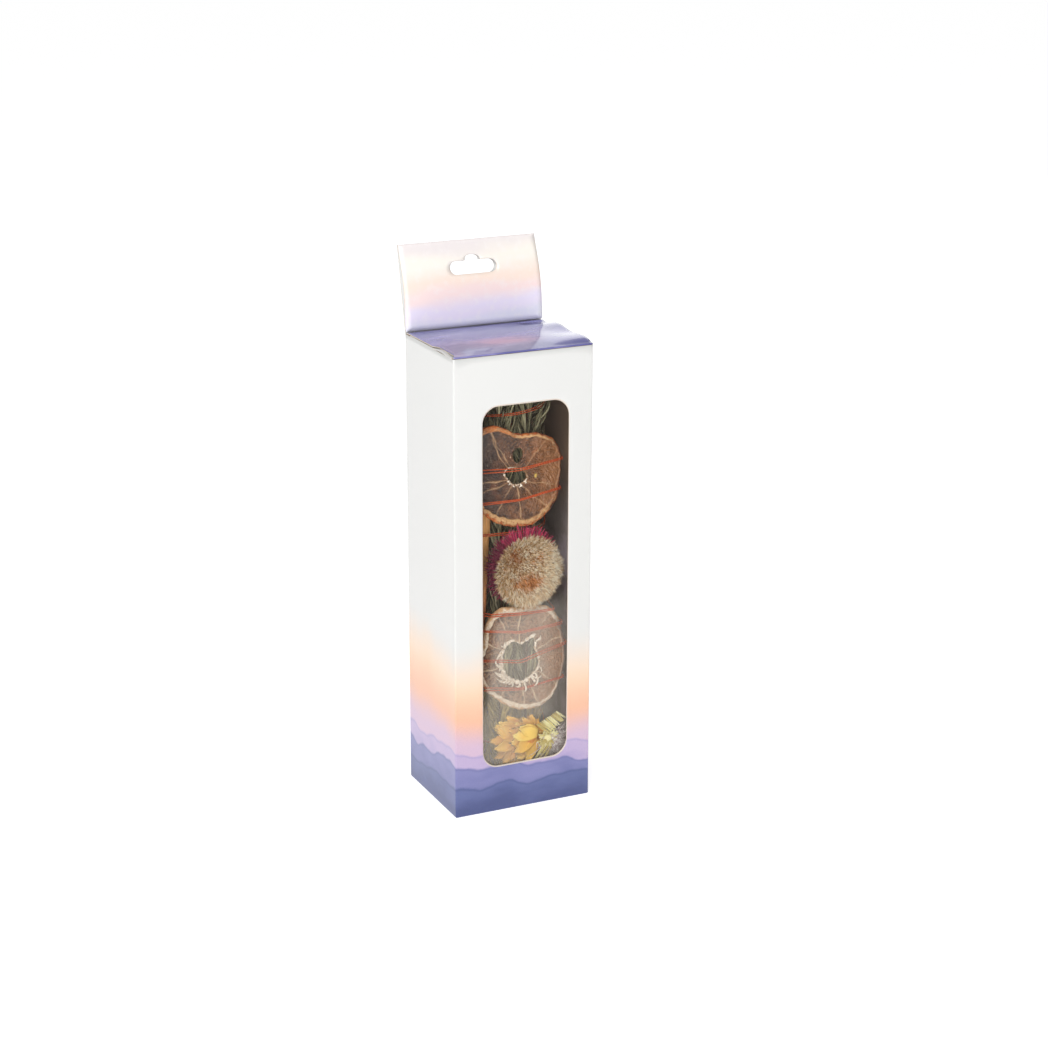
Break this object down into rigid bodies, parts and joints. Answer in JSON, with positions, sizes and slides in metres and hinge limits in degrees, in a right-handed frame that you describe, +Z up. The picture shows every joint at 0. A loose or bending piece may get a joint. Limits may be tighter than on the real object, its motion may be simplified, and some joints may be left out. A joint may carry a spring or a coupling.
{
  "type": "boxed herb smudge stick",
  "caption": "Herb smudge stick of rosemary, palo santo, dried orange slices and everlasting flowers bound with thread, standing in a windowed hanging carton with a hinged lid.",
  "frame": {"origin": "middle of the carton's underside, on the surface that it stands on", "axes": "+Z up along the stick and the carton, -Y out of the window, +X to the right as seen through the window"},
  "size_m": [0.075, 0.0693, 0.2824],
  "materials": {
    "board": "smooth coated folding board, white, with a soft wash of colour at the foot",
    "printed_board": "glossy coated folding board with a soft violet wash",
    "film": "clear thin window film, slightly hazed",
    "rosemary": "dried grey-green needles on brown woody stems",
    "palo_santo": "raw honey-brown split wood with resin streaks",
    "dried_orange": "dried brown flesh with pale membranes and a tan rind",
    "magenta_bract": "papery magenta bracts",
    "fluff": "tan and cream bristly seed fluff",
    "golden_bract": "papery golden-orange bracts",
    "pale_bract": "papery pale yellow bracts",
    "thread": "orange-red cotton thread, two strands"
  },
  "bodies": {
    "carton": {"carton_body": "board", "hang_tab": "board", "window_film": "film", "rosemary_sprig_1": "rosemary", "rosemary_sprig_2": "rosemary", "rosemary_sprig_3": "rosemary", "rosemary_sprig_4": "rosemary", "rosemary_sprig_5": "rosemary", "rosemary_sprig_6": "rosemary", "rosemary_sprig_7": "rosemary", "palo_santo_stick": "palo_santo", "orange_slice_upper": "dried_orange", "orange_slice_lower": "dried_orange", "everlasting_bracts": "magenta_bract", "everlasting_fluff": "fluff", "yellow_flower_bracts": "golden_bract", "yellow_flower_comb": "pale_bract", "binding_thread": "thread"},
    "lid": {"lid_panel": "printed_board", "tuck_tongue": "printed_board"},
    "flap_left": {"dust_flap_left": "board"},
    "flap_right": {"dust_flap_right": "board"}
  },
  "joints": [
    {"name": "lid_hinge", "type": "hinge", "parent": "carton", "child": "lid", "pos_m": [0, -0.0297, 0.2394], "axis": [1, 0, 0], "range_deg": [0, 135]},
    {"name": "flap_left_hinge", "type": "hinge", "parent": "carton", "child": "flap_left", "pos_m": [-0.0369, 0, 0.2391], "axis": [0, -1, 0], "range_deg": [0, 135]},
    {"name": "flap_right_hinge", "type": "hinge", "parent": "carton", "child": "flap_right", "pos_m": [0.0369, 0, 0.2391], "axis": [0, 1, 0], "range_deg": [0, 135]}
  ],
  "couplings": [
    {"joint": "flap_left_hinge", "follows": "lid_hinge", "ratio": 1},
    {"joint": "flap_right_hinge", "follows": "lid_hinge", "ratio": 1}
  ]
}
